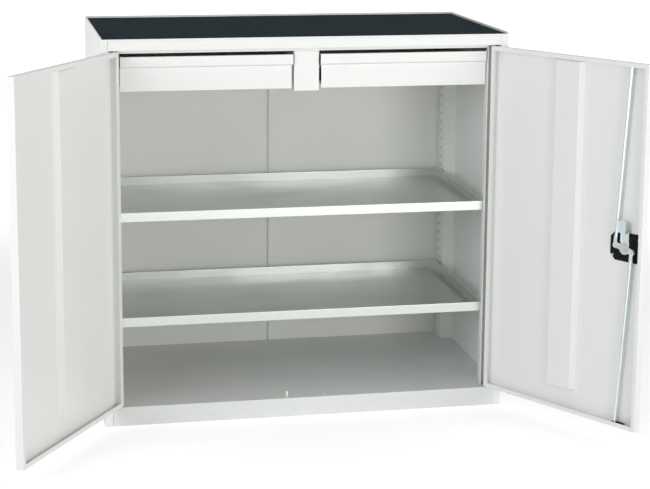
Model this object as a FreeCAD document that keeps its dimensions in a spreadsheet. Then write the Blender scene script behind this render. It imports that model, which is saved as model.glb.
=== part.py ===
import FreeCAD, Part
import math
import os
import Sketcher

doc = FreeCAD.newDocument("DrawerCabinet")
sheet = doc.addObject("Spreadsheet::Sheet", "Sizes")
rows = []


class Size:
    """A length written over the sheet's names, with the value it has at present."""

    def __init__(self, text, value):
        self.text = text
        self.value = value

    def __add__(self, other):
        other = as_size(other)
        return Size("(%s + %s)" % (self.text, other.text), self.value + other.value)

    def __sub__(self, other):
        other = as_size(other)
        return Size("(%s - %s)" % (self.text, other.text), self.value - other.value)

    def __mul__(self, other):
        other = as_size(other)
        return Size("(%s * %s)" % (self.text, other.text), self.value * other.value)

    def __truediv__(self, other):
        other = as_size(other)
        return Size("(%s / %s)" % (self.text, other.text), self.value / other.value)

    def __neg__(self):
        return Size("(0 - %s)" % self.text, -self.value)


def as_size(number):
    return number if isinstance(number, Size) else Size("%.6g" % number, float(number))


def arctangent(ratio):
    return Size("atan(%s)" % ratio.text, math.degrees(math.atan(ratio.value)))


def cosine(angle):
    return Size("cos(%s)" % angle.text, math.cos(math.radians(angle.value)))


def whole(number):
    return Size("floor(%s)" % number.text, float(math.floor(number.value)))


def dim(alias, value):
    """Write one size into the sheet under its own name."""
    rows.append(alias)
    sheet.set("A%d" % len(rows), alias.replace("_", " "))
    sheet.set("B%d" % len(rows), str(value))
    sheet.setAlias("B%d" % len(rows), alias)
    return Size("Sizes." + alias, float(value))


ZERO = as_size(0)
HALF_TURN = Size("180 deg", 180)
GROOVE_TURN = Size("45 deg", 45)
GROOVES = 3
SIXTH = 60

# Overall size and the sheet steel. X is the width, Y runs back from the front plane, Z is up.
width = dim("cabinet_width", 1050)
depth = dim("cabinet_depth", 550)
height = dim("cabinet_height", 1000)
steel = dim("sheet_thickness", 1.2)
bend = dim("bend_radius", 1.5)
seat = dim("sheet_seat_gap", 0.4)
running = dim("running_clearance", 0.3)
fit = dim("pin_fit", 0.06)

# Carcass.
stile_face = dim("stile_face_width", 20)
stile_step = dim("stile_step_depth", 23)
stile_inset = dim("stile_inset_width", 29)
stile_return = dim("stile_return_depth", 12)
gutter_lip = dim("gutter_lip_width", 4)
rear_flange = dim("rear_flange_width", 20)
rim_height = dim("tray_rim_height", 9)
rim_hem = dim("tray_rim_thickness", 4.5)
front_lip = dim("tray_front_lip", 4.2)
mat_thickness = dim("mat_thickness", 3)
mat_corner = dim("mat_corner_radius", 8)
mat_gap = dim("mat_edge_gap", 1.5)
plinth = dim("plinth_height", 49)
foot_return = dim("foot_return_depth", 30)
header_height = dim("header_height", 25)
header_drop = dim("header_drop", 9)
header_shelf = dim("header_top_flange", 30)
seam_offset = dim("back_seam_offset", 10)
seam_flange = dim("back_seam_flange", 11)

# Uprights and shelves.
upright_web = dim("upright_web_width", 60)
upright_inset = dim("upright_inset", 34)
front_upright = dim("front_upright_position", 36)
rear_upright = dim("rear_upright_position", 477)
upright_top_gap = dim("upright_top_gap", 2)
slot_width = dim("slot_width", 12)
slot_height = dim("slot_height", 5)
slot_pitch = dim("slot_pitch", 25)
slot_start = dim("first_slot_height", 85)
slot_offset = dim("slot_column_offset", 40)
shelf_side_gap = dim("shelf_side_gap", 8)
shelf_front = dim("shelf_front_position", 37)
shelf_depth = dim("shelf_depth", 484)
shelf_height = dim("shelf_rim_height", 25)
shelf_hem = dim("shelf_hem_width", 5)
shelf_fold = dim("shelf_hem_drop", 6)
lower_slot = dim("lower_shelf_slot", 7)
upper_slot = dim("upper_shelf_slot", 18)
clip_drop = dim("clip_drop", 10)
clip_plate = dim("clip_thickness", 1.5)
clip_width = dim("clip_width", 16)
clip_reach = dim("clip_reach", 14)
clip_hook = dim("clip_hook_length", 4)

# Inner drawers, their partition and their telescopic runners.
post_half = dim("partition_half_width", 32.5)
post_front = dim("partition_front_position", 31)
post_height = dim("partition_height", 137)
runner_thickness = dim("runner_thickness", 12.5)
runner_height = dim("runner_height", 45)
runner_steel = dim("runner_steel", 1.5)
runner_drop = dim("runner_drop", 98)
runner_front = dim("runner_front_position", 50)
runner_length = dim("runner_length", 480)
runner_step = dim("runner_member_inset", 0.5)
support_height = dim("runner_support_height", 40)
drawer_outer_gap = dim("drawer_outer_gap", 2.4)
drawer_inner_gap = dim("drawer_inner_gap", 6)
lip_inner_gap = dim("lip_inner_gap", 3)
lip_front = dim("lip_front_position", 24)
drawer_top_gap = dim("drawer_top_gap", 9)
lip_height = dim("grip_lip_height", 25)
lip_slope = dim("lip_slope_height", 4)
drawer_face = dim("drawer_face_position", 32)
drawer_height = dim("drawer_front_height", 88)
drawer_fold = dim("drawer_return", 8)
box_rise = dim("drawer_box_rise", 4)
box_height = dim("drawer_box_height", 68)
box_depth = dim("drawer_box_depth", 490)
box_steel = dim("drawer_box_steel", 1)

# Doors. They stand open at rest.
side_gap = dim("door_side_gap", 2.2)
middle_gap = dim("door_middle_gap", 2)
top_gap = dim("door_top_gap", 2.5)
bottom_gap = dim("door_bottom_gap", 2.5)
door_depth = dim("door_thickness", 20)
door_lip = dim("door_lip_width", 11)
pivot_inset = dim("pivot_inset", 7)
pivot_depth = dim("pivot_depth", 5)
pin_radius = dim("pivot_pin_radius", 2.5)
pin_collar = dim("pivot_collar_radius", 3.5)
pin_reach = dim("pivot_pin_reach", 9)
collar_height = dim("pivot_collar_height", 3)
bush_radius = dim("bush_radius", 3.8)
bush_flange = dim("bush_flange_radius", 4.7)
bush_reach = dim("bush_reach", 3.5)
left_angle = dim("left_door_angle", 122)
right_angle = dim("right_door_angle", 121)
hat_start = dim("stiffener_start", 202)
hat_width = dim("stiffener_width", 94)
hat_slope = dim("stiffener_slope", 10)
hat_flange = dim("stiffener_flange", 12)
hat_height = dim("stiffener_height", 12)
hat_bottom_gap = dim("stiffener_bottom_gap", 58.5)
hat_top_gap = dim("stiffener_top_gap", 13.5)
peg_radius = dim("door_stop_radius", 3)
peg_height = dim("door_stop_height", 13)
peg_place = dim("door_stop_position", 50)

# Three-point lock of the right door, measured from the hinge edge and from the skin.
lock_along = dim("lock_position", 442)
lock_level = dim("lock_height", 505)
case_width = dim("lock_case_width", 96)
case_height = dim("lock_case_height", 73)
case_corner = dim("lock_case_corner", 15)
case_depth = dim("lock_case_depth", 4.5)
case_lift = dim("lock_case_lift", 2.5)
case_base = dim("lock_base_thickness", 2)
case_inset = dim("lock_housing_inset", 6)
housing_corner = dim("lock_housing_corner", 16)
groove_along = dim("case_groove_start", 29)
groove_rise = dim("case_groove_rise", 21.5)
groove_pitch = dim("case_groove_pitch", 4)
groove_length = dim("case_groove_length", 16)
groove_width = dim("case_groove_width", 2)
groove_depth = dim("case_groove_depth", 0.8)
screw_radius = dim("lock_screw_radius", 3.2)
screw_height = dim("lock_screw_height", 2)
screw_along = dim("lock_screw_spread", 39.5)
screw_level = dim("lock_screw_rise", 24.5)
spindle_radius = dim("spindle_radius", 8)
cam_side = dim("cam_pin_side", 25)
cam_rise = dim("cam_pin_rise", 6)
cam_plate = dim("cam_thickness", 2.5)
cam_hub = dim("cam_hub_radius", 15)
cam_end = dim("cam_end_radius", 7.5)
cam_pin = dim("cam_pin_radius", 3)
cam_pin_length = dim("cam_pin_length", 5.5)
rod_radius = dim("rod_radius", 4)
rod_flat = dim("rod_flat_thickness", 4)
rod_eye = dim("rod_eye_radius", 7)
rod_neck = dim("rod_neck_width", 10)
rod_neck_length = dim("rod_neck_length", 24)
rod_tip = dim("rod_tip_length", 4)
rod_rest_gap = dim("rod_rest_gap", 1)
guide_upper = dim("upper_guide_position", 448)
guide_lower = dim("lower_guide_position", 436)
guide_swing = dim("lower_guide_swing", 16)
guide_slack = dim("guide_slack", 5)
guide_wall = dim("guide_wall", 4)
guide_height = dim("guide_height", 10)
tongue_width = dim("tongue_width", 26)
tongue_length = dim("tongue_length", 72)
tongue_tail = dim("tongue_tail", 12)
tongue_crank = dim("tongue_crank_height", 44)
tongue_plate = dim("tongue_thickness", 2.5)
tongue_corner = dim("tongue_corner", 5)
tongue_edge = dim("tongue_edge_width", 2)
tongue_rise = dim("tongue_edge_height", 2)
tongue_gap = dim("tongue_lip_gap", 1.5)
cap_radius = dim("spindle_nut_radius", 9)
cap_height = dim("spindle_nut_height", 4)
plate_radius = dim("escutcheon_radius", 26)
plate_height = dim("escutcheon_height", 2.5)
knob_radius = dim("knob_radius", 20)
knob_height = dim("knob_height", 6)
grip_length = dim("grip_length", 84)
grip_width = dim("grip_width", 18)
grip_height = dim("grip_height", 15)
grip_round = dim("grip_round", 4)
plug_radius = dim("key_plug_radius", 7)
plug_depth = dim("key_plug_depth", 12)
plug_proud = dim("key_plug_proud", 1)
key_slot = dim("key_slot_width", 1.6)
key_slot_length = dim("key_slot_length", 8)
key_slot_depth = dim("key_slot_depth", 4)
doc.recompute()

# Positions that follow from the sizes.
half = width / 2
stile = half - stile_face
stile_inner = stile - stile_inset
panel_inner = half - steel
upright_face = half - upright_inset
deck_under = height - rim_height
header_bottom = deck_under - header_height
lip_under = header_bottom - header_drop
upright_top = lip_under - upright_top_gap
slot_count = whole((upright_top - slot_start) / slot_pitch + 0.5)
post_bottom = deck_under - post_height
runner_level = deck_under - runner_drop
lip_top = lip_under - drawer_top_gap
lip_bottom = lip_top - lip_height
drawer_bottom = lip_top - drawer_height
box_bottom = drawer_bottom + box_rise
box_top = box_bottom + box_height
door_top = header_bottom - top_gap
door_bottom = plinth + bottom_gap
hat_bottom = door_bottom + hat_bottom_gap
hat_top = door_top - hat_top_gap
door_width = stile - side_gap - middle_gap / 2
pivot = stile - side_gap - pivot_inset
back_face = depth - steel
floor_rear = back_face - steel - seat
between = stile - seat
drawer_outer = stile_inner - drawer_outer_gap

AXIS_OF = {"XY": 2, "XZ": 1, "YZ": 0}
parts = []
counter = [0]


def own_name(kind):
    counter[0] += 1
    return "%s%d" % (kind, counter[0])


def body(name):
    item = doc.addObject("PartDesign::Body", name)
    item.Label = name
    return item


def node(item):
    """Keep an object for export as a separate piece."""
    parts.append(item)
    return item


def group(name, members):
    """One named piece list: identical small solids that share a file."""
    item = doc.addObject("Part::Compound", name)
    item.Label = name
    item.Links = members
    return node(item)


def sketch(item, plane, level, at=None, turn=None):
    """An empty sketch on one of the body's own planes, raised along the plane's normal."""
    sk = item.newObject("Sketcher::SketchObject", own_name("Sketch"))
    support = next(f for f in item.Origin.OriginFeatures if f.Role == plane + "_Plane")
    sk.AttachmentSupport = (support, [""])
    sk.MapMode = "FlatFace"
    sk.setExpression("AttachmentOffset.Base.z", level.text)
    if at:
        sk.setExpression("AttachmentOffset.Base.x", at[0].text)
        sk.setExpression("AttachmentOffset.Base.y", at[1].text)
    if turn:
        offset = sk.AttachmentOffset
        offset.Rotation = FreeCAD.Rotation(FreeCAD.Vector(0, 0, 1), turn.value)
        sk.AttachmentOffset = offset
        sk.setExpression("AttachmentOffset.Rotation.Angle", turn.text)
    return sk


def tie(sk, kind, geometry, point, size):
    if size.text == ZERO.text:
        axis = -2 if kind == "DistanceX" else -1
        sk.addConstraint(Sketcher.Constraint("PointOnObject", geometry, point, axis))
        return
    index = sk.addConstraint(Sketcher.Constraint(kind, -1, 1, geometry, point, size.value))
    sk.setExpression("Constraints[%d]" % index, size.text)


def outline(sk, corners):
    """Join the corners with lines and tie every corner to the sheet."""
    first = sk.GeometryCount
    total = len(corners)
    for i in range(total):
        ends = [FreeCAD.Vector(a.value, b.value, 0) for a, b in (corners[i], corners[(i + 1) % total])]
        sk.addGeometry(Part.LineSegment(*ends), False)
    for i in range(total):
        following = first + (i + 1) % total
        sk.addConstraint(Sketcher.Constraint("Coincident", first + i, 2, following, 1))
    for i, (a, b) in enumerate(corners):
        tie(sk, "DistanceX", first + i, 1, a)
        tie(sk, "DistanceY", first + i, 1, b)


def ring(sk, centre, radius):
    """A circle tied to the sheet by its centre and radius."""
    middle = FreeCAD.Vector(centre[0].value, centre[1].value, 0)
    index = sk.addGeometry(Part.Circle(middle, FreeCAD.Vector(0, 0, 1), radius.value), False)
    k = sk.addConstraint(Sketcher.Constraint("Radius", index, radius.value))
    sk.setExpression("Constraints[%d]" % k, radius.text)
    tie(sk, "DistanceX", index, 3, centre[0])
    tie(sk, "DistanceY", index, 3, centre[1])


def draw(sk, shapes):
    for shape in shapes:
        if isinstance(shape, tuple):
            ring(sk, *shape)
        else:
            outline(sk, shape)


def feature(item, kind, sk, length):
    made = item.newObject("PartDesign::" + kind, own_name(kind))
    made.Profile = sk
    made.setExpression("Length", length.text)
    item.Tip = made
    return made


def pad(item, plane, shapes, start, end, at=None, turn=None):
    """Material between two levels along the plane's axis."""
    level = -end if plane == "XZ" else start
    sk = sketch(item, plane, level, at, turn)
    draw(sk, shapes)
    return feature(item, "Pad", sk, end - start)


def cut(item, plane, shapes, start, end, at=None, turn=None):
    """Remove the material between two levels along the plane's axis."""
    level = -start if plane == "XZ" else end
    sk = sketch(item, plane, level, at, turn)
    draw(sk, shapes)
    return feature(item, "Pocket", sk, end - start)


def turn_about(item, plane, profile, at, level, turn=None):
    """Revolve a half profile (radius, height) about the upright axis of its sketch."""
    sk = sketch(item, plane, level, at, turn)
    draw(sk, [profile])
    made = item.newObject("PartDesign::Revolution", own_name("Revolution"))
    made.Profile = sk
    made.ReferenceAxis = (sk, ["V_Axis"])
    made.Angle = 360
    item.Tip = made
    return made


def rectangle(a, b, c, d):
    """The corners of the rectangle from (a, b) to (c, d)."""
    return [(a, b), (c, b), (c, d), (a, d)]


def round_off(item, radius, wanted, kind="Fillet"):
    """Round the edges whose two ends pass one of the tests."""
    doc.recompute()
    last = item.Tip
    names = []
    for i, edge in enumerate(last.Shape.Edges):
        ends = [v.Point for v in edge.Vertexes]
        if ends and any(test(ends[0], ends[-1]) for test in wanted):
            names.append("Edge%d" % (i + 1))
    made = item.newObject("PartDesign::" + kind, own_name(kind))
    made.Base = (last, names)
    made.setExpression("Radius" if kind == "Fillet" else "Size", radius.text)
    item.Tip = made
    return made


def line_at(plane, place):
    """A test for an edge that runs along the plane's axis through one of its points."""
    axis = AXIS_OF[plane]
    others = [i for i in range(3) if i != axis]

    def test(a, b):
        return all(abs(p[k] - place[j].value) < 1e-4 for p in (a, b) for j, k in enumerate(others))

    return test


def on_level(axis, level):
    """A test for an edge that lies in the plane across one axis at a level."""

    def test(a, b):
        return abs(a[axis] - level.value) < 1e-4 and abs(b[axis] - level.value) < 1e-4

    return test


def fold(item, plane, path, side, start, end, thickness=steel, sharp=()):
    """Folded sheet: a square path with the sheet on its left (+1) or right (-1), outer bends rounded."""
    runs = []
    for (a, b), (c, d) in zip(path, path[1:]):
        dx = c.value - a.value
        dy = d.value - b.value
        along = 0 if abs(dx) > abs(dy) else 1
        sign = (1 if dx > 0 else -1) if along == 0 else (-1 if dy > 0 else 1)
        runs.append((along, thickness * (side * sign)))
    inner = []
    for i, (a, b) in enumerate(path):
        near = {runs[k][0]: runs[k][1] for k in (i - 1, i) if 0 <= k < len(runs)}
        inner.append((a + near[1] if 1 in near else a, b + near[0] if 0 in near else b))
    made = pad(item, plane, [path + inner[::-1]], start, end)
    bends = []
    for i in range(1, len(path) - 1):
        if i in sharp:
            continue
        ax, ay, bx, by, cx, cy = [v.value for k in (i - 1, i, i + 1) for v in path[k]]
        turning = (bx - ax) * (cy - by) - (by - ay) * (cx - bx)
        bends.append(line_at(plane, path[i] if turning * side > 0 else inner[i]))
    return round_off(item, bend, bends) if bends else made


# Side panels: outer skin, front stile with its gutter, and rear flange folded from one sheet.
gutter_floor = stile_step + stile_return - steel / 2
gutter_inner = stile_inner + gutter_lip
for name, hand in (("side_panel_left", -1), ("side_panel_right", 1)):
    item = node(body(name))
    path = [
        (half - rear_flange, depth), (half, depth), (half, ZERO), (stile, ZERO), (stile, gutter_floor),
        (gutter_inner, gutter_floor), (gutter_inner, stile_step), (stile_inner, stile_step),
        (stile_inner, stile_step + stile_return),
    ]
    fold(item, "XY", [(x * hand, y) for x, y in path], -hand, ZERO, deck_under)

# Back: two sheets that meet in a folded seam.
seam = -seam_offset
back_edge = panel_inner - seat
item = node(body("back_panel_left"))
path = [(-back_edge, back_face), (seam, back_face), (seam, back_face - seam_flange)]
fold(item, "XY", path, -1, seat, deck_under - seat)
seam_notch = rectangle(seam - steel * 2, back_face - seam_flange * 2, seam + steel * 2, back_face - steel)
cut(item, "XY", [seam_notch], ZERO, plinth + seat)
item = node(body("back_panel_right"))
path = [(seam, back_face - seam_flange), (seam, back_face), (back_edge, back_face)]
fold(item, "XY", path, -1, seat, deck_under - seat)
cut(item, "XY", [seam_notch], ZERO, plinth + seat)

# Where the lock's rods enter the floor and the header.
upper_slot_x = stile - side_gap - guide_upper
lower_slot_x = stile - side_gap - guide_lower - guide_swing
rod_depth = case_depth + steel + running + tongue_plate + cam_plate + running + rod_flat / 2


def rod_opening(centre, before, after, across, clear):
    """A slot for a rod, longer on the side to which the rod swings."""
    return rectangle(centre - rod_radius - clear - before, across - rod_radius - clear,
                     centre + rod_radius + clear + after, across + rod_radius + clear)


# Floor: deck, plinth and rear flange of one sheet, notched round the stiles.
item = node(body("floor_panel"))
path = [
    (foot_return, ZERO), (ZERO, ZERO), (ZERO, plinth), (floor_rear, plinth), (floor_rear, ZERO),
    (floor_rear - foot_return, ZERO),
]
fold(item, "YZ", path, -1, -between, between, sharp=(1,))
notch_end = stile_step + stile_return + steel
notches = [rectangle((stile_inner - seat) * s, stile_step, (between + steel) * s, notch_end) for s in (-1, 1)]
cut(item, "XY", notches, -steel, plinth + steel)
wings = [rectangle((between - seat) * s, notch_end, back_edge * s, floor_rear - bend) for s in (-1, 1)]
pad(item, "XY", wings, plinth - steel, plinth)
pin_holes = [((pivot * s, pivot_depth), bush_radius + fit) for s in (-1, 1)]
cut(item, "XY", pin_holes, plinth - steel * 2, plinth + steel)
entry = rod_opening(lower_slot_x, ZERO, ZERO, rod_depth, guide_slack / 2)
cut(item, "XY", [entry], plinth - steel * 2, plinth + steel)

# Header rail: fascia, top flange, door stop and drip fold.
item = node(body("header_rail"))
path = [
    (header_shelf, deck_under), (ZERO, deck_under), (ZERO, header_bottom), (stile_step, header_bottom),
    (stile_step, lip_under), (stile_step + stile_return, lip_under),
]
fold(item, "YZ", path, 1, -between, between)
cut(item, "XY", notches, lip_under - steel, deck_under + steel)
cut(item, "XY", pin_holes, header_bottom - steel, header_bottom + steel * 2)
entry = rod_opening(upper_slot_x, guide_slack / 2, guide_slack / 2, rod_depth, running)
cut(item, "XY", [entry], header_bottom - steel, header_bottom + steel * 2)

# Tray top with hemmed rims and a low front lip, and the mat that lies in it.
item = node(body("tray_top"))
pad(item, "XY", [rectangle(-half, ZERO, half, depth)], deck_under, deck_under + steel)
rim = [
    (-half, ZERO), (-half, depth), (half, depth), (half, ZERO), (half - rim_hem, ZERO),
    (half - rim_hem, depth - rim_hem), (rim_hem - half, depth - rim_hem), (rim_hem - half, ZERO),
]
pad(item, "XY", [rim], deck_under + steel, height)
pad(
    item, "XY", [rectangle(rim_hem - half, ZERO, half - rim_hem, steel)],
    deck_under + steel, deck_under + front_lip,
)
round_off(item, bend, [on_level(2, height)])
item = node(body("rubber_mat"))
mat_half = half - rim_hem - mat_gap
mat_corners = rectangle(-mat_half, steel + seat, mat_half, depth - rim_hem - mat_gap)
pad(item, "XY", [mat_corners], deck_under + steel, deck_under + steel + mat_thickness)
round_off(item, mat_corner, [line_at("XY", corner) for corner in mat_corners[2:]])

# Perforated uprights: channels that close against the side panels.
for name, hand, near in (
    ("upright_front_left", -1, front_upright), ("upright_front_right", 1, front_upright),
    ("upright_rear_left", -1, rear_upright), ("upright_rear_right", 1, rear_upright),
):
    item = node(body(name))
    path = [
        (panel_inner, near), (upright_face, near), (upright_face, near + upright_web),
        (panel_inner, near + upright_web),
    ]
    fold(item, "XY", [(x * hand, y) for x, y in path], -hand, plinth, upright_top)
    middle = near + slot_offset if near is rear_upright else near + upright_web - slot_offset
    slot = rectangle(middle - slot_width / 2, slot_start - slot_height / 2,
                     middle + slot_width / 2, slot_start + slot_height / 2)
    low, high = sorted((upright_face * hand - steel, upright_face * hand + steel), key=lambda s: s.value)
    first = cut(item, "YZ", [slot], low, high)
    rows_of_slots = item.newObject("PartDesign::LinearPattern", own_name("Pattern"))
    rows_of_slots.Originals = [first]
    rows_of_slots.Direction = (first.Profile[0], ["V_Axis"])
    rows_of_slots.setExpression("Length", (slot_pitch * (slot_count - 1)).text)
    rows_of_slots.setExpression("Occurrences", slot_count.text)
    item.Tip = rows_of_slots

# Shelves: trays with hemmed rims, each on four clips hooked into the slots.
shelf_half = upright_face - shelf_side_gap
shelf_rear = shelf_front + shelf_depth
for name, slot_number in (("lower_shelf", lower_slot), ("upper_shelf", upper_slot)):
    slot_level = slot_start + slot_pitch * slot_number
    ledge = slot_level - clip_drop
    top = ledge + shelf_height
    item = node(body(name))
    path = [
        (shelf_front + shelf_hem, top - shelf_fold), (shelf_front + shelf_hem, top), (shelf_front, top),
        (shelf_front, ledge), (shelf_rear, ledge), (shelf_rear, top), (shelf_rear - shelf_hem, top),
        (shelf_rear - shelf_hem, top - shelf_fold),
    ]
    fold(item, "YZ", path, 1, -shelf_half, shelf_half)
    rim = [
        (shelf_half - shelf_hem, top - shelf_fold), (shelf_half - shelf_hem, top), (shelf_half, top),
        (shelf_half, ledge + steel / 2),
    ]
    for hand in (-1, 1):
        side_rim = [(x * hand, z) for x, z in rim]
        fold(item, "XZ", side_rim, -hand, shelf_front + bend, shelf_rear - bend, sharp=(1, 2))
    clips = []
    for hand in (-1, 1):
        for middle in (front_upright + upright_web - slot_offset, rear_upright + slot_offset):
            clip = body(own_name(name + "_clip"))
            profile = [
                (upright_face, ledge), (upright_face - clip_reach, ledge),
                (upright_face - clip_reach, ledge - clip_plate), (upright_face, ledge - clip_plate),
            ]
            low = middle - clip_width / 2
            high = middle + clip_width / 2
            pad(clip, "XZ", [[(x * hand, z) for x, z in profile]], low, high)
            plate = rectangle((upright_face - clip_plate) * hand, ledge - clip_plate,
                              upright_face * hand, slot_level + clip_drop)
            pad(clip, "XZ", [plate], low, high)
            tab_low = slot_level - slot_height / 2 + running
            tab = rectangle(upright_face * hand, tab_low,
                            (upright_face + clip_hook) * hand, tab_low + clip_plate * 2)
            inset = slot_width / 2 - running
            pad(clip, "XZ", [tab], middle - inset, middle + inset)
            clips.append(clip)
    group(name + "_clips", clips)

# Partition between the drawers: a channel hung from the top and held by the header.
item = node(body("drawer_partition"))
path = [
    (-post_half, floor_rear), (-post_half, post_front), (post_half, post_front), (post_half, floor_rear),
]
fold(item, "XY", path, 1, post_bottom, deck_under)
clearance_end = notch_end + seat
cut(item, "XY", [rectangle(-half, ZERO, half, clearance_end)], lip_under, height)

# Runner supports on the uprights.
outer_runner = stile_inner - drawer_outer_gap / 4
for name, hand in (("runner_support_left", -1), ("runner_support_right", 1)):
    item = node(body(name))
    low = runner_level - support_height / 2
    high = runner_level + support_height / 2
    path = [(upright_face, high), (outer_runner, high), (outer_runner, low), (upright_face, low)]
    fold(item, "XZ", [(x * hand, z) for x, z in path], hand, front_upright + seat, rear_upright + upright_web)

# Telescopic runners: a fixed, a middle and a drawer member on each flank of each drawer.


def runner_member(name, hand, fixed_at, facing, near, far, half_height, opens, start, end):
    """A channel between two depths from the fixed side; opens is +1 when it opens to the drawer."""
    member = node(body(name))
    a, b = (near, far) if opens > 0 else (far, near)
    path = [(b, half_height), (a, half_height), (a, -half_height), (b, -half_height)]
    placed = [((fixed_at + s * facing) * hand, runner_level + z) for s, z in path]
    fold(member, "XZ", placed, hand * facing * opens, start, end, thickness=runner_steel)


for drawer, hand in (("left", -1), ("right", 1)):
    for flank, fixed_at, facing in (("inner", post_half, 1), ("outer", outer_runner, -1)):
        tail = "_%s_%s" % (drawer, flank)
        reach = runner_thickness
        half_high = runner_height / 2
        step = runner_steel + running
        runner_member("runner_fixed" + tail, hand, fixed_at, facing, ZERO, reach - runner_step * 4,
                      half_high, 1, runner_front, runner_front + runner_length)
        runner_member("runner_middle" + tail, hand, fixed_at, facing, runner_steel + runner_step,
                      reach - runner_step * 3, half_high - step, 1, runner_front + runner_step * 4,
                      runner_front + runner_length - runner_step * 4)
        runner_member("runner_drawer" + tail, hand, fixed_at, facing, runner_steel * 2 + runner_step * 2,
                      reach, half_high - step * 2, -1, runner_front - runner_step * 4,
                      runner_front + runner_length - runner_step * 8)

# Drawers: a folded front with a slanted grip lip, and the box behind it.
box_inner = post_half + runner_thickness
box_outer = outer_runner - runner_thickness
for drawer, hand in (("left", -1), ("right", 1)):
    item = node(body("drawer_front_" + drawer))
    profile = [
        (lip_front + drawer_fold, lip_top), (lip_front, lip_top), (lip_front, lip_bottom),
        (drawer_face, lip_bottom - lip_slope), (drawer_face, drawer_bottom),
        (drawer_face + drawer_fold, drawer_bottom), (drawer_face + drawer_fold, drawer_bottom + steel),
        (drawer_face + steel, drawer_bottom + steel), (drawer_face + steel, lip_bottom - lip_slope + steel),
        (lip_front + steel, lip_bottom + steel), (lip_front + steel, lip_top - steel),
        (lip_front + drawer_fold, lip_top - steel),
    ]
    low, high = sorted(((post_half + lip_inner_gap) * hand, drawer_outer * hand), key=lambda s: s.value)
    pad(item, "YZ", [profile], low, high)
    shortened = (post_half + drawer_inner_gap) * hand
    notch = rectangle(post_half * hand, drawer_face - steel, shortened, drawer_face + drawer_fold * 2)
    cut(item, "XY", [notch], drawer_bottom - steel, lip_bottom - lip_slope)
    round_off(item, bend, [line_at("YZ", profile[i]) for i in (1, 2, 4)])
    item = node(body("drawer_box_" + drawer))
    front = drawer_face + steel
    pad(
        item, "XY", [rectangle(box_inner * hand, front, box_outer * hand, front + box_depth)],
        box_bottom, box_top,
    )
    hollow = rectangle((box_inner + box_steel) * hand, front + box_steel,
                       (box_outer - box_steel) * hand, front + box_depth - box_steel)
    cut(item, "XY", [hollow], box_bottom + box_steel, box_top + box_steel)

# Doors, drawn shut in a frame whose origin is the pivot, then swung open.
SWING = {1: (left_angle, -1), -1: (right_angle, 1)}


def hang(item, hand):
    """Put an object that is drawn in a door's frame onto that door as it stands open."""
    angle, sense = SWING[hand]
    turned = FreeCAD.Rotation(FreeCAD.Vector(0, 0, sense), angle.value)
    item.Placement = FreeCAD.Placement(FreeCAD.Vector(-hand * pivot.value, pivot_depth.value, 0), turned)
    item.setExpression("Placement.Base.x", (-(pivot * hand)).text)
    item.setExpression("Placement.Base.y", pivot_depth.text)
    item.setExpression("Placement.Rotation.Angle", angle.text)
    return item


def at_door(hand, along, across):
    """A point in a door's frame from its distances to the hinge edge and to the outer skin."""
    return (along - pivot_inset) * hand, across - pivot_depth


def door_rectangle(hand, along_a, level_a, along_b, level_b):
    """A rectangle in the upright plane of a door's frame."""
    return rectangle((along_a - pivot_inset) * hand, level_a, (along_b - pivot_inset) * hand, level_b)


def pivot_piece(hand, profile, name):
    """A turned piece on a door's pivot axis."""
    piece = body(own_name(name))
    turn_about(piece, "XZ", profile, (ZERO, ZERO), ZERO)
    return hang(piece, hand)


upper_level = header_bottom - rod_rest_gap * 4
lower_level = plinth + rod_rest_gap * 3
pin_top = lock_level + cam_rise
pin_bottom = lock_level - cam_rise
upper_run = guide_upper - lock_along + cam_side
lower_run = lock_along + cam_side - guide_lower
upper_lean = arctangent(upper_run / (upper_level - guide_height / 2 - pin_top))
lower_lean = arctangent(lower_run / (pin_bottom - lower_level - guide_height / 2))

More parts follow.
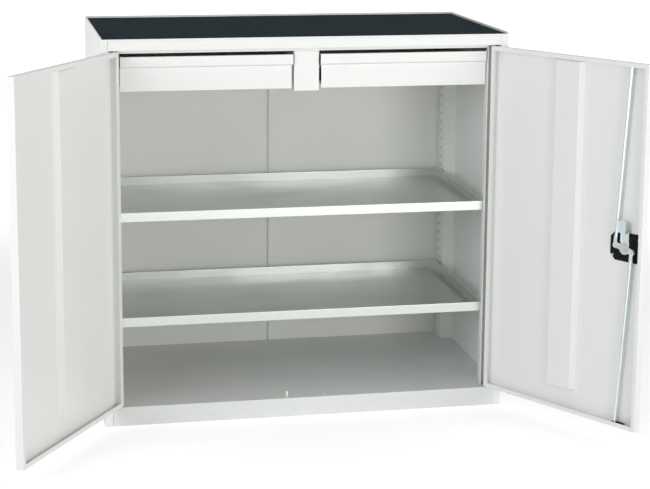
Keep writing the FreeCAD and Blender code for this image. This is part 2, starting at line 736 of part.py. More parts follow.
for name, hand in (("left", 1), ("right", -1)):
    item = node(body(name + "_door_panel"))
    path = [
        at_door(hand, door_lip, door_depth), at_door(hand, ZERO, door_depth), at_door(hand, ZERO, ZERO),
        at_door(hand, door_width, ZERO), at_door(hand, door_width, door_depth),
        at_door(hand, door_width - door_lip, door_depth),
    ]
    fold(item, "XY", path, hand, door_bottom, door_top)
    inside = [
        at_door(hand, steel / 2, steel / 2),
        at_door(hand, door_width - steel / 2, door_depth - steel / 2),
    ]
    for low, high in ((door_bottom, door_bottom + steel), (door_top - steel, door_top)):
        pad(item, "XY", [rectangle(*inside[0], *inside[1])], low, high)
    for low, high in ((door_bottom, door_bottom + door_lip), (door_top - door_lip, door_top)):
        strip = door_rectangle(hand, steel / 2, low, door_width - steel / 2, high)
        pad(item, "XZ", [strip], door_depth - steel - pivot_depth, door_depth - pivot_depth)
    cut(item, "XY", [((ZERO, ZERO), pin_radius + fit)], door_bottom - steel, door_top + steel)
    if name == "right":
        slots = (
            (guide_upper, guide_slack, ZERO, door_top - steel * 2, door_top + steel),
            (guide_lower, ZERO, guide_swing, door_bottom - steel, door_bottom + steel * 2),
        )
        for along, before, after, low, high in slots:
            corner = rod_opening(along - pivot_inset, before, after, rod_depth - pivot_depth, running)
            cut(item, "XY", [[(x * hand, y) for x, y in corner]], low, high)
        spindle_hole = (((lock_along - pivot_inset) * hand, lock_level), spindle_radius + running)
        cut(item, "XZ", [spindle_hole], -pivot_depth - steel, steel * 2 - pivot_depth)
    hang(item, hand)

    item = node(body(name + "_door_stiffener"))
    inner = steel
    crown = hat_height + steel
    outer_line = [
        (hat_start - hat_flange, inner), (hat_start - hat_flange, inner + steel), (hat_start, inner + steel),
        (hat_start + hat_slope, crown), (hat_start + hat_width - hat_slope, crown),
        (hat_start + hat_width, inner + steel), (hat_start + hat_width + hat_flange, inner + steel),
        (hat_start + hat_width + hat_flange, inner),
    ]
    inner_line = [
        (hat_start + hat_width - steel, inner), (hat_start + hat_width - hat_slope - steel, crown - steel),
        (hat_start + hat_slope + steel, crown - steel), (hat_start + steel, inner),
    ]
    pad(item, "XY", [[at_door(hand, u, n) for u, n in outer_line + inner_line]], hat_bottom, hat_top)
    hang(item, hand)

    pins = []
    bushes = []
    for foot, sense, ground, start in (
        (door_bottom + steel, 1, plinth, door_bottom),
        (door_top - steel, -1, header_bottom, door_top - running),
    ):
        pins.append(pivot_piece(hand, [
            (ZERO, foot + collar_height * sense), (pin_collar, foot + collar_height * sense),
            (pin_collar, foot),
            (pin_radius, foot), (pin_radius, foot - pin_reach * sense), (ZERO, foot - pin_reach * sense),
        ], name + "_pin"))
        brim = start if sense > 0 else start + running * 2
        bushes.append(pivot_piece(hand, [
            (pin_radius + fit, brim), (bush_flange, brim), (bush_flange, ground), (bush_radius, ground),
            (bush_radius, ground - bush_reach * sense), (pin_radius + fit, ground - bush_reach * sense),
        ], name + "_bush"))
    group(name + "_door_pins", pins)
    group(name + "_door_bushes", bushes)

# Stop peg for the left door.
item = node(body("door_stop_peg"))
peg_y = door_depth + running + peg_radius
pad(item, "XY", [((-peg_place, peg_y), peg_radius)], plinth, plinth + peg_height)
doc.recompute()

# Lock, drawn in the right door's frame with the bolts drawn back.
RIGHT = -1
lock_x = (lock_along - pivot_inset) * RIGHT


def lock_pad(item, shapes, start, end, at=None, turn=None):
    """Material between two depths measured from the door's outer skin."""
    return pad(item, "XZ", shapes, start - pivot_depth, end - pivot_depth, at, turn)


def lock_cut(item, shapes, start, end, at=None, turn=None):
    """Remove material between two depths measured from the door's outer skin."""
    return cut(item, "XZ", shapes, start - pivot_depth, end - pivot_depth, at, turn)


def lock_box(left, low, right, high):
    """A rectangle about the lock's centre."""
    return rectangle(lock_x + left, lock_level + low, lock_x + right, lock_level + high)


def lock_piece(name):
    return hang(node(body(name)), RIGHT)


case_top = steel + case_depth


def octagon(inset, corner):
    """The lock case's outline, drawn in from its edge."""
    a = case_width / 2 - inset
    b = case_height / 2 - inset
    near = b - corner
    over = a - corner
    corners = [(a, -near), (a, near), (over, b), (-over, b), (-a, near), (-a, -near), (-over, -b), (over, -b)]
    return [(lock_x + x, lock_level + case_lift + z) for x, z in corners]


item = lock_piece("lock_case")
lock_pad(item, [octagon(ZERO, case_corner)], steel, steel + case_base)
lock_pad(item, [octagon(case_inset, housing_corner)], steel + case_base, case_top)
round_off(item, bend, [on_level(1, case_top - pivot_depth)])
for i in range(GROOVES):
    centre = (lock_x - groove_along + groove_pitch * i, lock_level + groove_rise - groove_pitch * i)
    strip = rectangle(-groove_length / 2, -groove_width / 2, groove_length / 2, groove_width / 2)
    lock_cut(item, [strip], case_top - groove_depth, case_top + groove_depth, centre, GROOVE_TURN)
lock_cut(item, [((lock_x, lock_level), spindle_radius + running)], ZERO, case_top + steel)

screws = []
for side in (-1, 1):
    screw = hang(body(own_name("lock_screw")), RIGHT)
    centre = (lock_x - screw_along * side, lock_level + case_lift + screw_level * side)
    lock_pad(screw, [(centre, screw_radius)], steel + case_base, steel + case_base + screw_height)
    screws.append(screw)
group("lock_screws", screws)

tongue_base = case_top + running
tongue_end = door_depth + tongue_gap
cam_base = tongue_base + tongue_plate
cam_top = cam_base + cam_plate
knob_face = -plate_height - running
item = lock_piece("lock_spindle")
lock_pad(item, [((lock_x, lock_level), spindle_radius)], knob_face, cam_top)

item = lock_piece("lock_escutcheon")
lock_pad(item, [((lock_x, lock_level), plate_radius)], -plate_height, ZERO)
lock_cut(item, [((lock_x, lock_level), spindle_radius + running)], -plate_height * 2, steel)

upper_pin = (lock_x + cam_side, pin_top)
lower_pin = (lock_x - cam_side, pin_bottom)
cam_angle = arctangent(cam_rise / cam_side)
item = lock_piece("lock_cam")
lock_pad(item, [((lock_x, lock_level), cam_hub)], cam_base, cam_top)
arm = cam_side / cosine(cam_angle)
bar = rectangle(-arm, -cam_end, arm, cam_end)
lock_pad(item, [bar], cam_base, cam_top, (lock_x, lock_level), cam_angle)
for centre in (upper_pin, lower_pin):
    lock_pad(item, [(centre, cam_end)], cam_base, cam_top)
    lock_pad(item, [(centre, cam_pin)], cam_top, cam_top + cam_pin_length)
spindle_bore = ((lock_x, lock_level), spindle_radius + fit)
lock_cut(item, [spindle_bore], cam_base - steel, cam_top + steel)

item = lock_piece("lock_tongue")
half_tongue = tongue_width / 2
crank_foot = tongue_crank - tongue_plate
lock_pad(item, [lock_box(-half_tongue, -tongue_tail, half_tongue, tongue_crank)], tongue_base, cam_base)
lock_pad(
    item, [lock_box(-half_tongue, crank_foot, half_tongue, tongue_crank)],
    tongue_base, tongue_end + tongue_plate,
)
lock_pad(
    item, [lock_box(-half_tongue, crank_foot, half_tongue, tongue_length)],
    tongue_end, tongue_end + tongue_plate,
)
ends = [(lock_x + half_tongue * s, lock_level + z) for s in (-1, 1) for z in (-tongue_tail, tongue_length)]
round_off(item, tongue_corner, [line_at("XZ", place) for place in ends])
for side in (-1, 1):
    edge = half_tongue * side
    inset = (half_tongue - tongue_edge) * side
    lock_pad(item, [lock_box(edge, cam_hub + running, inset, tongue_crank)], cam_base, cam_base + tongue_rise)
    lock_pad(item, [lock_box(edge, crank_foot, inset, tongue_length - tongue_corner)],
             tongue_end + tongue_plate, tongue_end + tongue_plate + tongue_rise)
lock_cut(item, [spindle_bore], tongue_base - running, cam_base + running)

item = lock_piece("spindle_nut")
hexagon = []
for i in range(6):
    turned = math.radians(SIXTH * i)
    hexagon.append((lock_x + cap_radius * math.cos(turned), lock_level + cap_radius * math.sin(turned)))
lock_pad(item, [hexagon], cam_top, cam_top + cap_height)


def bolt_rod(name, centre, lean, tip_level):
    """A rod with a flattened eye on the cam's pin, leaning to its guide."""
    rod = lock_piece(name)
    length = tip_level / cosine(lean)
    turn = lean if name == "upper_rod" else lean + HALF_TURN
    flat_base = cam_top + running
    flat_top = flat_base + rod_flat
    lock_pad(rod, [((ZERO, ZERO), rod_eye)], flat_base, flat_top, centre, turn)
    neck = rectangle(-rod_neck / 2, ZERO, rod_neck / 2, rod_neck_length)
    lock_pad(rod, [neck], flat_base, flat_top, centre, turn)
    shaft = [
        (ZERO, rod_neck_length - rod_radius), (rod_radius, rod_neck_length - rod_radius),
        (rod_radius, length - rod_tip), (rod_radius / 2, length), (ZERO, length),
    ]
    turn_about(rod, "XZ", shaft, centre, pivot_depth - rod_depth, turn)
    lock_cut(rod, [((ZERO, ZERO), cam_pin + fit)], flat_base - steel, flat_top + steel, centre, turn)
    return rod


bolt_rod("upper_rod", upper_pin, upper_lean, upper_level - pin_top)
bolt_rod("lower_rod", lower_pin, lower_lean, pin_bottom - lower_level)

for name, along, before, after, low, high in (
    ("upper_rod_guide", guide_upper, guide_slack, ZERO, door_top - steel - guide_height, door_top - steel),
    (
        "lower_rod_guide", guide_lower, ZERO, guide_swing,
        door_bottom + steel, door_bottom + steel + guide_height,
    ),
):
    item = lock_piece(name)
    hole = rod_opening(along - pivot_inset, before, after, rod_depth - pivot_depth, running)
    front = door_depth - steel - running - pivot_depth
    block = rectangle(hole[0][0] - guide_wall, hole[0][1] - guide_wall / 2, hole[2][0] + guide_wall, front)
    pad(item, "XY", [[(x * RIGHT, y) for x, y in block]], low, high)
    round_off(item, guide_wall * 0.8, [line_at("XY", (x * RIGHT, y)) for x, y in block[:2]])
    cut(item, "XY", [[(x * RIGHT, y) for x, y in hole]], low - steel, high + steel)

item = lock_piece("lock_handle")
knob_top = knob_face - knob_height
grip_top = knob_top - grip_height
lock_pad(item, [((lock_x, lock_level), knob_radius)], knob_top, knob_face)
grip_box = lock_box(-grip_width / 2, -grip_length / 2, grip_width / 2, grip_length / 2)
lock_pad(item, [grip_box], grip_top, knob_top)
round_off(item, grip_round, [line_at("XZ", corner) for corner in grip_box])
round_off(item, grip_round / 2, [on_level(1, grip_top - pivot_depth)], "Chamfer")
lock_cut(item, [((lock_x, lock_level), plug_radius + fit)], grip_top - steel, grip_top + plug_depth)

item = lock_piece("key_plug")
plug_face = grip_top - plug_proud
lock_pad(item, [((lock_x, lock_level), plug_radius)], plug_face, grip_top + plug_depth)
slit = lock_box(-key_slot / 2, -key_slot_length / 2, key_slot / 2, key_slot_length / 2)
lock_cut(item, [slit], plug_face - steel, plug_face + key_slot_depth)

doc.recompute()
problems = []
for item in doc.Objects:
    if "Invalid" in item.State or "Error" in item.State:
        problems.append("%s of %s: %s" % (item.Name, item.getParentGeoFeatureGroup().Label, item.State))
for item in parts:
    if item.Shape.isNull() or not item.Shape.isValid():
        problems.append("%s has no sound shape" % item.Label)
if problems:
    raise RuntimeError("; ".join(problems[:12]))

os.makedirs("parts", exist_ok=True)
for item in parts:
    item.Shape.exportStep("parts/%s.step" % item.Label)
print("%d pieces written" % len(parts))
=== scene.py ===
import math

import bpy
import numpy as np
from mathutils import Matrix, Vector


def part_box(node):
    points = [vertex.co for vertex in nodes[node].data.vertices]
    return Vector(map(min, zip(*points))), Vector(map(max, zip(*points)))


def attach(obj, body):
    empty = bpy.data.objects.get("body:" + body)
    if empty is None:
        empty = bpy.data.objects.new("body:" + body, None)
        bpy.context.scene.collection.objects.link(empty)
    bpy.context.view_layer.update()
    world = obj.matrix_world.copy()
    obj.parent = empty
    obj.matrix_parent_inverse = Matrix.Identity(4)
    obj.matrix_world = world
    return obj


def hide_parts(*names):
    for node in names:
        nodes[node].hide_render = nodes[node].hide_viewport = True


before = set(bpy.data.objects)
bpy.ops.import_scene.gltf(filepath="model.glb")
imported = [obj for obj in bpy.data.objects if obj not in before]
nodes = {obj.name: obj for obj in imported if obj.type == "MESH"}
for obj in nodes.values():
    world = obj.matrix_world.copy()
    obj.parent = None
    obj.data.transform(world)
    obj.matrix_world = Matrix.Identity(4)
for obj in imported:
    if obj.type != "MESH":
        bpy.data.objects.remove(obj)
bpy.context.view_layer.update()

# Where the eye stands in metres, which way it looks in radians, its lens and sensor in millimetres,
# how far its window is let down, as a share of the sensor's width, and how many metres it sees.
EYE = (-0.8378, -4.2910, 1.4786)
YAW = 0.2025
PITCH = 0.1844
ROLL = 0.0074
LENS = 96.53
SENSOR = 36.0
WINDOW_DROP = -0.12
FARTHEST = 60.0

# How far the right door stands open, for the marks that run along it.
RIGHT_DOOR = math.radians(121.0)

# Half sizes in metres of the marks in the lock: the keyway, and the arms of a screw's cross.
KEYWAY_WIDTH = 0.0008
KEYWAY_LENGTH = 0.0036
CROSS_WIDTH = 0.00055
CROSS_LENGTH = 0.0021

# The mat in metres: how its edge and corners are rounded, how far its rear edge wanders, how high its
# face ripples, and how far in from the edge the ripple is full.
EDGE_RADIUS = 0.0012
MAT_CORNER = 0.008
REAR_WANDER = 0.0009
RIPPLE = 0.00012
RIPPLE_FULL = 0.03

# The share of the CAD mat's height that the mat has, the share of its own height that stands upright
# at the edge, and how many rows of points lie between the crowded ones.
MAT_FILL = 0.93
UPRIGHT_EDGE = 0.25
POINTS_ACROSS = 150
POINTS_BACK = 70

# Light levels: the room's soft light, and the white that eye and metal see round the cabinet.
ROOM_LIGHT = 0.44
WHITE = (1.0, 1.0, 1.0)
BLACK = (0.0, 0.0, 0.0)

# The floor: half its width, its drop under the cabinet's foot, and the distances from the middle
# between which its glow grows from a share to full, all in metres.
FLOOR_REACH = 14.0
FLOOR_DROP = 0.0005
GLOW_START = 1.6
GLOW_FULL = 4.5
FLOOR_GLOW = 0.4

# The point that all lamps look at.
CABINET_MIDDLE = (0.0, 0.1, 0.5)


class Value:
    """A node socket that takes part in Python arithmetic."""

    def __init__(self, finish, socket):
        self.finish = finish
        self.socket = socket

    def maths(self, operation, first, second):
        return self.finish.node("ShaderNodeMath", {"operation": operation}, {0: first, 1: second})

    def __add__(self, other):
        return self.maths("ADD", self, other)

    def __radd__(self, other):
        return self.maths("ADD", other, self)

    def __rsub__(self, other):
        return self.maths("SUBTRACT", other, self)

    def __mul__(self, other):
        return self.maths("MULTIPLY", self, other)

    def __rmul__(self, other):
        return self.maths("MULTIPLY", other, self)

    def most(self, other):
        """The larger of the two."""
        return self.maths("MAXIMUM", self, other)


class Finish:
    """A node tree under construction: of a material, or of the world."""

    def __init__(self, owner, surface):
        owner.use_nodes = True
        self.tree = owner.node_tree
        self.tree.nodes.clear()
        self.output = self.tree.nodes.new(surface)

    def node(self, kind, settings, values, output=0):
        """Add a node, set it up, join or set its inputs, and hand back one of its outputs."""
        made = self.tree.nodes.new(kind)
        for name, setting in settings.items():
            setattr(made, name, setting)
        for name, value in values.items():
            if isinstance(value, Value):
                self.tree.links.new(value.socket, made.inputs[name])
            else:
                made.inputs[name].default_value = value
        return Value(self, made.outputs[output])

    def close(self, shader):
        """Join the finished shader to the output."""
        self.tree.links.new(shader.socket, self.output.inputs["Surface"])

    def place(self, stretch=(1.0, 1.0, 1.0)):
        """The point on the piece in metres, drawn out along its axes."""
        point = self.node("ShaderNodeTexCoord", {}, {}, "Object")
        return self.node("ShaderNodeMapping", {}, {"Vector": point, "Scale": stretch})

    def turned(self, centre, angle):
        """The point measured from a centre, with X running along a line turned by angle about Z."""
        back = -angle
        x, y, z = centre
        shift = (y * math.sin(back) - x * math.cos(back), -x * math.sin(back) - y * math.cos(back), -z)
        point = self.node("ShaderNodeTexCoord", {}, {}, "Object")
        return self.node(
            "ShaderNodeMapping", {},
            {"Vector": point, "Rotation": (0.0, 0.0, back), "Location": shift},
        )

    def within(self, value, half, soft=0.0002):
        """1 where the value lies within half of zero, and 0 beyond, with a soft border."""
        size = self.node("ShaderNodeMath", {"operation": "ABSOLUTE"}, {0: value})
        return 1.0 - self.ease(size, half - soft, half + soft)

    def noise(self, point, scale, detail=2.0, roughness=0.5):
        """Cloudy unevenness from 0 to 1; scale counts its humps in a metre."""
        return self.node(
            "ShaderNodeTexNoise", {},
            {"Vector": point, "Scale": scale, "Detail": detail, "Roughness": roughness},
        )

    def cells(self, point, scale, output="Color"):
        """Crystals: a flat colour for each, or the distance to its middle."""
        return self.node("ShaderNodeTexVoronoi", {}, {"Vector": point, "Scale": scale}, output)

    def along(self, point, axis):
        """One coordinate of a point, or one channel of a colour."""
        return self.node("ShaderNodeSeparateXYZ", {}, {"Vector": point}, axis)

    def ease(self, value, low, high):
        """0 below low, 1 above high, and a smooth step between."""
        return self.node(
            "ShaderNodeMapRange", {"interpolation_type": "SMOOTHSTEP"},
            {"Value": value, "From Min": low, "From Max": high},
        )

    def blend(self, share, first, second):
        """A colour between two colours."""
        return self.node("ShaderNodeMix", {"data_type": "RGBA"}, {0: share, 6: first, 7: second}, 2)

    def bump(self, relief, distance, strength):
        """Relief on the surface, with its full height in metres and the share of it that shows."""
        return self.node(
            "ShaderNodeBump", {},
            {"Height": relief, "Distance": distance, "Strength": strength},
        )


def rgb(red, green, blue):
    """A colour written in the 0-255 steps of a paint chart, as the light it sends back (sRGB curve)."""
    steps = np.array([red, green, blue]) / 255.0
    light = np.where(steps <= 0.04045, steps / 12.92, ((steps + 0.055) / 1.055) ** 2.4)
    return (*(float(v) for v in light), 1.0)


def shade(colour, share):
    """The colour with its light scaled."""
    return (*(min(1.0, c * share) for c in colour[:3]), 1.0)


def new_finish(name):
    """An empty material and the node tree to build it with."""
    material = bpy.data.materials.new(name)
    return material, Finish(material, "ShaderNodeOutputMaterial")


def principled(finish, values):
    """Close the tree with the all-round surface shader."""
    finish.close(finish.node("ShaderNodeBsdfPrincipled", {}, values))


# Finishes.


def powder_coat(name, colour, gloss=0.34, wear_below=0.0):
    """Baked powder coat: a fine orange peel, a faint unevenness of tint, and dull rubbed patches.
    wear_below is the height in metres under which shoes and mops have scuffed the paint."""
    rubbed_grey = rgb(150, 148, 140)
    scuff_grey = rgb(120, 118, 112)
    material, f = new_finish(name)
    point = f.place()
    cloud = f.noise(point, scale=3.0, detail=3.0)
    peel = f.noise(point, scale=560.0)
    wave = f.noise(point, scale=9.0)
    patch = f.noise(f.place((1.0, 1.0, 0.35)), scale=26.0, detail=5.0, roughness=0.62)
    rubbed = f.ease(patch, 0.56, 0.74)
    tint = f.blend(cloud, shade(colour, 0.985), shade(colour, 1.005))
    tint = f.blend(rubbed * 0.018, tint, rubbed_grey)
    if wear_below:
        low = 1.0 - f.ease(f.along(point, "Z"), wear_below * 0.2, wear_below)
        streak = f.noise(f.place((0.18, 1.0, 1.0)), scale=120.0, detail=4.0, roughness=0.6)
        scuff = f.ease(streak, 0.55, 0.68)
        tint = f.blend(low * scuff * 0.07, tint, scuff_grey)
    principled(f, {
        "Base Color": tint,
        "Roughness": gloss + 0.06 * cloud + 0.06 * rubbed,
        "Normal": f.bump(peel + 1.6 * wave, distance=0.00022, strength=0.35),
    })
    return material


def galvanised_sheet(name, dark, pale):
    """Thin zinc on cold-rolled sheet: a fine frosty spangle, cloudy water marks, and a slight wave."""
    material, f = new_finish(name)
    point = f.place()
    wave = f.noise(point, scale=4.0)
    large = f.along(f.cells(point, scale=210.0), "X")
    small = f.along(f.cells(point, scale=520.0), "Y")
    crystal = 0.5 * large + 0.5 * small
    mark = f.noise(f.place((0.5, 1.0, 1.0)), scale=11.0, detail=4.0, roughness=0.55)
    stain = f.ease(mark, 0.45, 0.75)
    tint = f.blend(crystal, dark, pale)
    tint = f.blend(stain * 0.25, tint, shade(dark, 0.86))
    principled(f, {
        "Base Color": tint,
        "Metallic": 0.9,
        "Roughness": 0.3 + 0.02 * crystal + 0.06 * stain,
        "Normal": f.bump(wave, distance=0.0012, strength=0.5),
    })
    return material


def zinc_plate(name, colour, along=(1.0, 1.0, 0.05), gloss=0.2):
    """Bright zinc plate over drawn steel: fine lines along the bar and a cloudy passivation."""
    material, f = new_finish(name)
    lines = f.noise(f.place(along), scale=900.0, detail=3.0, roughness=0.6)
    cloud = f.noise(f.place(), scale=38.0, detail=3.0)
    tint = f.blend(cloud, shade(colour, 0.9), shade(colour, 1.06))
    principled(f, {
        "Base Color": tint,
        "Metallic": 1.0,
        "Roughness": gloss + 0.12 * cloud + 0.1 * lines,
        "Normal": f.bump(lines, distance=0.00012, strength=0.5),
    })
    return material


def key_face(name, colour, centre, angle):
    """A polished plug with the keyway across its face, the keyway painted dark as the shade inside it;
    angle is the door's opening angle.
    """
    keyway_shade = rgb(18, 18, 20)
    material, f = new_finish(name)
    point = f.turned(centre, angle)
    keyway = f.within(f.along(point, "X"), KEYWAY_WIDTH) * f.within(f.along(point, "Z"), KEYWAY_LENGTH)
    turning = f.noise(f.place((1.0, 1.0, 0.2)), scale=900.0)
    principled(f, {
        # The keyway's dark colour is painted shade inside the slot.
        "Base Color": f.blend(keyway, colour, keyway_shade),
        "Metallic": 1.0 - keyway,
        "Roughness": 0.08 + 0.06 * turning + 0.4 * keyway,
        "Normal": f.bump(1.0 - keyway, distance=0.0006, strength=0.8),
    })
    return material


def crossed_screws(name, colour, heads, angle):
    """Zinc-plated screws with a cross recess in each head, painted grey as the shade inside it; angle is
    the door's opening angle.
    """
    recess_shade = rgb(60, 62, 64)
    material, f = new_finish(name)
    recess = 0.0
    for head in heads:
        point = f.turned(head, angle)
        x = f.along(point, "X")
        z = f.along(point, "Z")
        across = f.within(x, CROSS_LENGTH) * f.within(z, CROSS_WIDTH)
        upright = f.within(z, CROSS_LENGTH) * f.within(x, CROSS_WIDTH)
        recess = across.most(upright).most(recess)
    cloud = f.noise(f.place(), scale=300.0)
    principled(f, {
        # The recess's grey is painted shade inside the cross.
        "Base Color": f.blend(recess, colour, recess_shade),
        "Metallic": 1.0,
        "Roughness": 0.22 + 0.1 * cloud + 0.3 * recess,
        "Normal": f.bump(1.0 - recess, distance=0.0008, strength=0.8),
    })
    return material


def grained_rubber(name, colour):
    """Matt rubber sheet with a pebbled grain, greyed a little where things have been dragged over it."""
    dust_grey = rgb(92, 100, 108)
    material, f = new_finish(name)
    point = f.place()
    pebble = f.cells(point, scale=640.0, output="Distance")
    grain = f.noise(point, scale=1500.0)
    cloud = f.noise(point, scale=6.0, detail=4.0, roughness=0.6)
    drag = f.noise(f.place((0.3, 1.0, 1.0)), scale=34.0, detail=5.0, roughness=0.65)
    dust = f.ease(drag, 0.55, 0.75)
    tint = f.blend(cloud, shade(colour, 0.75), shade(colour, 1.25))
    tint = f.blend(dust * 0.08, tint, dust_grey)
    principled(f, {
        "Base Color": tint,
        "Roughness": 0.72 + 0.14 * dust,
        "Specular IOR Level": 0.02,
        "Normal": f.bump(pebble + 0.5 * grain, distance=0.0005, strength=0.6),
    })
    return material


def moulded_plastic(name, colour, gloss, sheen):
    """Injection-moulded plastic with a fine spark grain."""
    material, f = new_finish(name)
    point = f.place()
    grain = f.noise(point, scale=1700.0)
    cloud = f.noise(point, scale=60.0)
    principled(f, {
        "Base Color": f.blend(cloud, shade(colour, 0.85), shade(colour, 1.15)),
        "Roughness": gloss + 0.1 * cloud,
        "Specular IOR Level": sheen,
        "Normal": f.bump(grain, distance=0.0001, strength=0.5),
    })
    return material


def screw_heads():
    """The middle of each lock screw: one lies above the middle of their node, and one below."""
    low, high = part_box("lock_screws")
    vertices = nodes["lock_screws"].data.vertices
    points = np.empty(len(vertices) * 3)
    vertices.foreach_get("co", points)
    points = points.reshape(-1, 3)
    upper = points[:, 2] > (low.z + high.z) / 2
    return [tuple((part.min(axis=0) + part.max(axis=0)) / 2) for part in (points[upper], points[~upper])]


white_paint = powder_coat("white_powder_coat", rgb(236, 237, 235))
door_paint = powder_coat("door_powder_coat", rgb(241, 242, 240))
plinth_paint = powder_coat("plinth_powder_coat", rgb(229, 231, 229), wear_below=0.05)
# The inner paint is the same white coat made lighter: painted light that stands in for the light the
# closed-in inside lacks.
inner_paint_lightened = powder_coat("inner_powder_coat_lightened", rgb(248, 249, 245), gloss=0.38)
shelf_zinc = galvanised_sheet("galvanised_shelf", rgb(200, 204, 200), rgb(208, 212, 208))
bright_zinc = zinc_plate("bright_zinc_plate", rgb(224, 233, 236))
# The cam's zinc is partly a duller, mottled finish. Its darker colour is painted shade that parts it from
# the rods.
cam_zinc_darkened = zinc_plate("stamped_cam_zinc_darkened", rgb(203, 207, 206), along=(0.4, 1.0, 0.4), gloss=0.3)
runner_zinc = zinc_plate("runner_zinc_plate", rgb(205, 208, 210), along=(1.0, 0.05, 1.0), gloss=0.28)
mat_rubber = grained_rubber("mat_rubber", rgb(19, 35, 42))
black_plastic = moulded_plastic("black_plastic", rgb(7, 9, 13), gloss=0.42, sheen=0.16)
white_plastic = moulded_plastic("white_plastic", rgb(235, 235, 230), gloss=0.4, sheen=0.5)
plug_low, plug_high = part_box("key_plug")
plug_chrome = key_face("polished_plug", rgb(222, 224, 226), (plug_low + plug_high) / 2, RIGHT_DOOR)
screw_zinc = crossed_screws("screw_zinc", rgb(216, 224, 227), screw_heads(), RIGHT_DOOR)

DRESS = (
    (white_paint, (
        "side_panel_left", "side_panel_right", "header_rail", "tray_top", "drawer_partition",
        "drawer_front_left", "drawer_front_right", "drawer_box_left", "drawer_box_right",
    )),
    (door_paint, (
        "left_door_panel", "left_door_stiffener", "right_door_panel", "right_door_stiffener",
    )),
    (plinth_paint, ("floor_panel",)),
    # Inner sheets take the lightened copy of the white coat, which is painted light.
    (inner_paint_lightened, (
        "back_panel_left", "back_panel_right", "upright_front_left", "upright_front_right",
        "upright_rear_left", "upright_rear_right", "runner_support_left", "runner_support_right",
    )),
    (shelf_zinc, ("lower_shelf", "upper_shelf")),
    (bright_zinc, (
        "lower_shelf_clips", "upper_shelf_clips", "left_door_pins", "right_door_pins",
        "upper_rod", "lower_rod", "lock_tongue",
    )),
    (screw_zinc, ("lock_screws",)),
    # Cam, spindle and nut take the zinc darkened as painted shade.
    (cam_zinc_darkened, ("lock_cam", "lock_spindle", "spindle_nut")),
    (runner_zinc, tuple(n for n in nodes if n.startswith("runner_") and "support" not in n)),
    (mat_rubber, ("rubber_mat",)),
    (black_plastic, (
        "lock_case", "upper_rod_guide", "lower_rod_guide", "left_door_bushes", "right_door_bushes",
        "lock_handle", "lock_escutcheon",
    )),
    (white_plastic, ("door_stop_peg",)),
    (plug_chrome, ("key_plug",)),
)
for finish, names in DRESS:
    for name in names:
        for place in nodes[name].material_slots:
            place.material = finish


# The mat, worked out as a surface.


def piece(name, points, faces, finish, body):
    """Make a mesh object from an array of points and an array of faces, and let it ride on a body."""
    mesh = bpy.data.meshes.new(name)
    mesh.from_pydata(points.tolist(), [], faces.tolist())
    mesh.materials.append(finish)
    mesh.shade_smooth()
    made = bpy.data.objects.new(name, mesh)
    bpy.context.scene.collection.objects.link(made)
    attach(made, body)
    return made


def grid_faces(rows, columns, first=0):
    """Four-sided faces over a grid of points, from the first on, counter-clockwise seen from above."""
    r, c = np.meshgrid(np.arange(rows - 1), np.arange(columns - 1), indexing="ij")
    corner = (first + r * columns + c).ravel()
    return np.stack([corner, corner + columns, corner + columns + 1, corner + 1], axis=1)


def rounded_corners(x, y, low, high, radius):
    """Squares of one radius in the corners of a rectangle squeezed into quarter discs:
    with p and q running 0 to 1 across a square, p becomes p * sqrt(1 - q * q / 2), and q likewise."""
    (x0, y0), (x1, y1) = low, high
    p = np.clip((np.abs(x - (x0 + x1) / 2) - ((x1 - x0) / 2 - radius)) / radius, 0, 1)
    q = np.clip((np.abs(y - (y0 + y1) / 2) - ((y1 - y0) / 2 - radius)) / radius, 0, 1)
    shift_x = radius * p * (1 - np.sqrt(1 - q * q / 2)) * np.sign(x - (x0 + x1) / 2)
    shift_y = radius * q * (1 - np.sqrt(1 - p * p / 2)) * np.sign(y - (y0 + y1) / 2)
    return x - shift_x, y - shift_y


def crowded(low, high, count, edge):
    """Places from low to high: five that crowd at each end, and count of them evenly between."""
    near = np.array([0.0, 0.25, 0.6, 1.0, 1.8]) * edge
    between = np.linspace(low + 3 * edge, high - 3 * edge, count)
    return np.concatenate([low + near, between, (high - near)[::-1]])


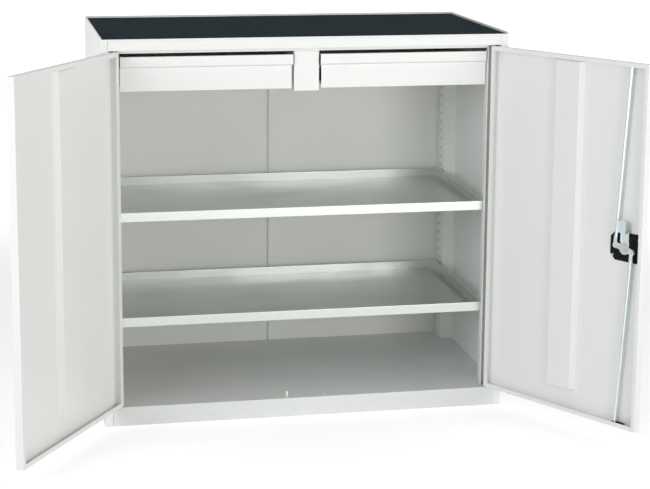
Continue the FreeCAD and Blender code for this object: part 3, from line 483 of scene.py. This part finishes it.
def rubber_sheet():
    """The mat as a closed skin. Over the tray it rises to thick * (u + (1 - u) * sqrt(1 - (1 - d)**2)),
    where d runs from 0 at the edge to 1 one radius inside it and u is the upright share. Its face
    ripples a little, and its rear edge wanders as hand-cut rubber does."""
    low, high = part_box("rubber_mat")
    thick = (high.z - low.z) * MAT_FILL
    across = crowded(low.x, high.x, POINTS_ACROSS, EDGE_RADIUS)
    back = crowded(low.y, high.y, POINTS_BACK, EDGE_RADIUS)
    x, y = np.meshgrid(across, back, indexing="ij")
    edge = np.minimum(np.minimum(x - low.x, high.x - x), np.minimum(y - low.y, high.y - y))
    crown = np.sqrt(np.clip(1 - (1 - np.clip(edge / EDGE_RADIUS, 0, 1)) ** 2, 0, 1))
    x, y = rounded_corners(x, y, (low.x, low.y), (high.x, high.y), MAT_CORNER)
    rear = (y - low.y) / (high.y - low.y)
    wander = REAR_WANDER * (np.sin(11 * x + 0.6) + 0.6 * np.sin(27 * x + 2.1) - 1.6)
    y = y + wander * rear ** 6
    wave = np.sin(9 * x + 4 * y) + np.sin(17 * y - 5 * x)
    ripple = RIPPLE * wave * np.clip(edge / RIPPLE_FULL, 0, 1)
    top = low.z + thick * (UPRIGHT_EDGE + (1 - UPRIGHT_EDGE) * crown) + ripple
    under = np.full_like(top, low.z)
    points = np.concatenate([np.stack([x, y, z], axis=-1).reshape(-1, 3) for z in (top, under)])
    rows, columns = x.shape
    below = rows * columns
    index = np.arange(below).reshape(rows, columns)
    ring = np.concatenate([index[:, 0], index[-1, 1:], index[-2::-1, -1], index[0, -2:0:-1]])
    after = np.roll(ring, -1)
    faces = np.concatenate([
        grid_faces(rows, columns),
        grid_faces(rows, columns, below)[:, ::-1],
        np.stack([ring, ring + below, after + below, after], axis=1),
    ])
    return points, faces


points, faces = rubber_sheet()
mat = piece("mat_sheet", points, faces, mat_rubber, "cabinet")
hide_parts("rubber_mat")


# Room: floor, white surround, lamps and eye.


def seen_directly(finish):
    """1 for what eye, metal and glass look at directly, and 0 for light that falls on a surface."""
    camera, glossy, through = (
        finish.node("ShaderNodeLightPath", {}, {}, ray)
        for ray in ("Is Camera Ray", "Is Glossy Ray", "Is Transmission Ray")
    )
    return camera.most(glossy).most(through)


def white_room():
    """Soft light from all round, out of a surround that looks white."""
    world = bpy.data.worlds.new("white_room")
    bpy.context.scene.world = world
    f = Finish(world, "ShaderNodeOutputWorld")
    strength = ROOM_LIGHT + (1.0 - ROOM_LIGHT) * seen_directly(f)
    f.close(f.node("ShaderNodeBackground", {}, {"Color": (*WHITE, 1.0), "Strength": strength}))


def pale_floor():
    """A wide floor, nearly white, that keeps the cabinet's shadow and meets the surround unseen."""
    material, f = new_finish("pale_floor")
    away = f.node("ShaderNodeVectorMath", {"operation": "LENGTH"}, {0: f.place()}, "Value")
    glow = FLOOR_GLOW + (1.0 - FLOOR_GLOW) * f.ease(away, GLOW_START, GLOW_FULL)
    principled(f, {
        "Base Color": rgb(243, 243, 243),
        "Roughness": 0.9,
        "Specular IOR Level": 0.1,
        "Emission Color": f.blend(glow * seen_directly(f), (*BLACK, 1.0), (*WHITE, 1.0)),
        "Emission Strength": 1.0,
    })
    mesh = bpy.data.meshes.new("floor")
    corners = [(x * FLOOR_REACH, y * FLOOR_REACH, 0) for x, y in ((-1, -1), (1, -1), (1, 1), (-1, 1))]
    mesh.from_pydata(corners, [], [(0, 1, 2, 3)])
    mesh.materials.append(material)
    floor = bpy.data.objects.new("floor", mesh)
    bpy.context.scene.collection.objects.link(floor)
    floor.location.z = -FLOOR_DROP


def lamp(name, place, size, watts, tint):
    """A square lamp that looks at the middle of the cabinet."""
    light = bpy.data.lights.new(name, "AREA")
    light.shape = "SQUARE"
    light.size = size
    light.energy = watts
    light.color = tint
    made = bpy.data.objects.new(name, light)
    made.location = place
    aim = Vector(CABINET_MIDDLE) - Vector(place)
    made.rotation_euler = aim.to_track_quat("-Z", "Y").to_euler()
    bpy.context.scene.collection.objects.link(made)


def eye():
    """A camera whose axes come from yaw, pitch and roll, with its window let down on the sensor."""
    ahead = np.array([math.sin(YAW) * math.cos(PITCH), math.cos(YAW) * math.cos(PITCH), -math.sin(PITCH)])
    level = np.array([math.cos(YAW), -math.sin(YAW), 0.0])
    above = np.cross(level, ahead)
    across = level * math.cos(ROLL) + above * math.sin(ROLL)
    up = above * math.cos(ROLL) - level * math.sin(ROLL)
    stand = np.eye(4)
    stand[:3] = np.stack([across, up, -ahead, EYE], axis=1)
    data = bpy.data.cameras.new("eye")
    data.sensor_fit = "HORIZONTAL"
    data.sensor_width = SENSOR
    data.lens = LENS
    data.shift_y = WINDOW_DROP
    data.clip_end = FARTHEST
    camera = bpy.data.objects.new("eye", data)
    camera.matrix_world = Matrix(stand.tolist())
    bpy.context.scene.collection.objects.link(camera)
    bpy.context.scene.camera = camera


white_room()
pale_floor()
lamp("right_lamp", place=(3.1, -2.9, 1.7), size=1.8, watts=42.0, tint=(1.0, 0.99, 0.955))
lamp("left_lamp", place=(-3.1, -2.7, 1.7), size=1.8, watts=56.0, tint=(0.95, 0.98, 1.0))
lamp("front_lamp", place=(1.25, -4.4, 0.95), size=1.2, watts=33.0, tint=(1.0, 1.0, 0.985))
eye()
bpy.context.scene.view_settings.view_transform = "Standard"
